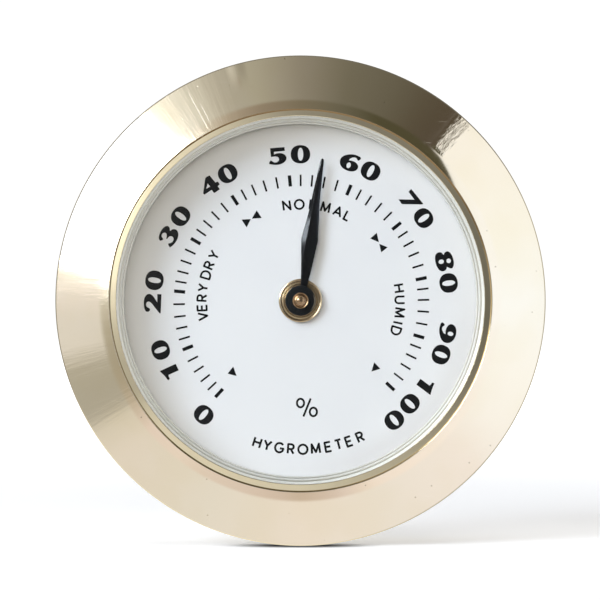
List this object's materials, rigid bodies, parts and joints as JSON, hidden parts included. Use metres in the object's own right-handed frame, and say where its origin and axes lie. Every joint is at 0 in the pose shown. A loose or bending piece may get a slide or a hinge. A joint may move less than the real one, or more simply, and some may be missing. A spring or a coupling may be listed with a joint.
{
  "type": "dial hygrometer",
  "caption": "Round dial hygrometer insert: conical brass flange, flat glass, white percent dial with lance pointer, and a vented barrel holding a humidity coil and slotted adjuster.",
  "frame": {"origin": "on the pointer's axis, in the plane of the flange's rear face, at the mouth of the panel hole that the barrel fits", "axes": "+Y along the barrel away from the dial, +Z towards the dial's 50 percent mark (top), the dial faces -Y and +X is to its right"},
  "size_m": [0.045, 0.0145, 0.045],
  "materials": {
    "brass_satin": "pale champagne brass, finely brushed along the radius",
    "brass_bright": "turned bright brass",
    "clear_glass": "clear flat glass with a polished edge",
    "white_plastic": "white moulded plastic",
    "dial_white": "cool white enamel printed in black",
    "pointer_black": "black satin lacquer",
    "black_plastic": "black moulded plastic",
    "steel": "turned steel",
    "coil_strip": "metal strip laminated with a moisture-sensitive film",
    "rubber": "black ribbed rubber"
  },
  "bodies": {
    "case": {"bezel": "brass_satin", "lens_retainer": "brass_satin", "lens": "clear_glass", "dial_spacer_ring": "white_plastic", "dial_plate": "dial_white", "dial_bushing": "brass_bright", "bushing_washer": "brass_bright", "case_barrel": "brass_satin", "grip_ring": "rubber", "chassis_plate": "black_plastic", "rear_spacer_sleeve": "black_plastic", "back_cover": "black_plastic", "movement_bridge": "brass_bright", "pillar_left": "brass_bright", "pillar_right": "brass_bright", "chassis_screw_left": "steel", "chassis_screw_right": "steel", "bridge_screw_left": "steel", "bridge_screw_right": "steel"},
    "regulator": {"regulator_hub": "brass_bright", "regulator_arm": "brass_bright", "coil_anchor_post": "steel", "rear_bearing": "steel", "friction_washer": "steel", "retaining_clip": "steel"},
    "pointer": {"arbor": "brass_bright", "pointer": "pointer_black", "coil_collet": "brass_bright", "humidity_coil": "coil_strip"}
  },
  "joints": [
    {"name": "regulator_turn", "type": "hinge", "parent": "case", "child": "regulator", "pos_m": [0, 0.0082, 0], "axis": [0, 1, 0], "range_deg": [-30, 30]},
    {"name": "pointer_turn", "type": "hinge", "parent": "regulator", "child": "pointer", "pos_m": [0, 0.0013, 0], "axis": [0, 1, 0], "range_deg": [-146.5, 124.4], "stiffness_Nm_per_rad": 0.0002, "deforming": ["humidity_coil"]}
  ]
}
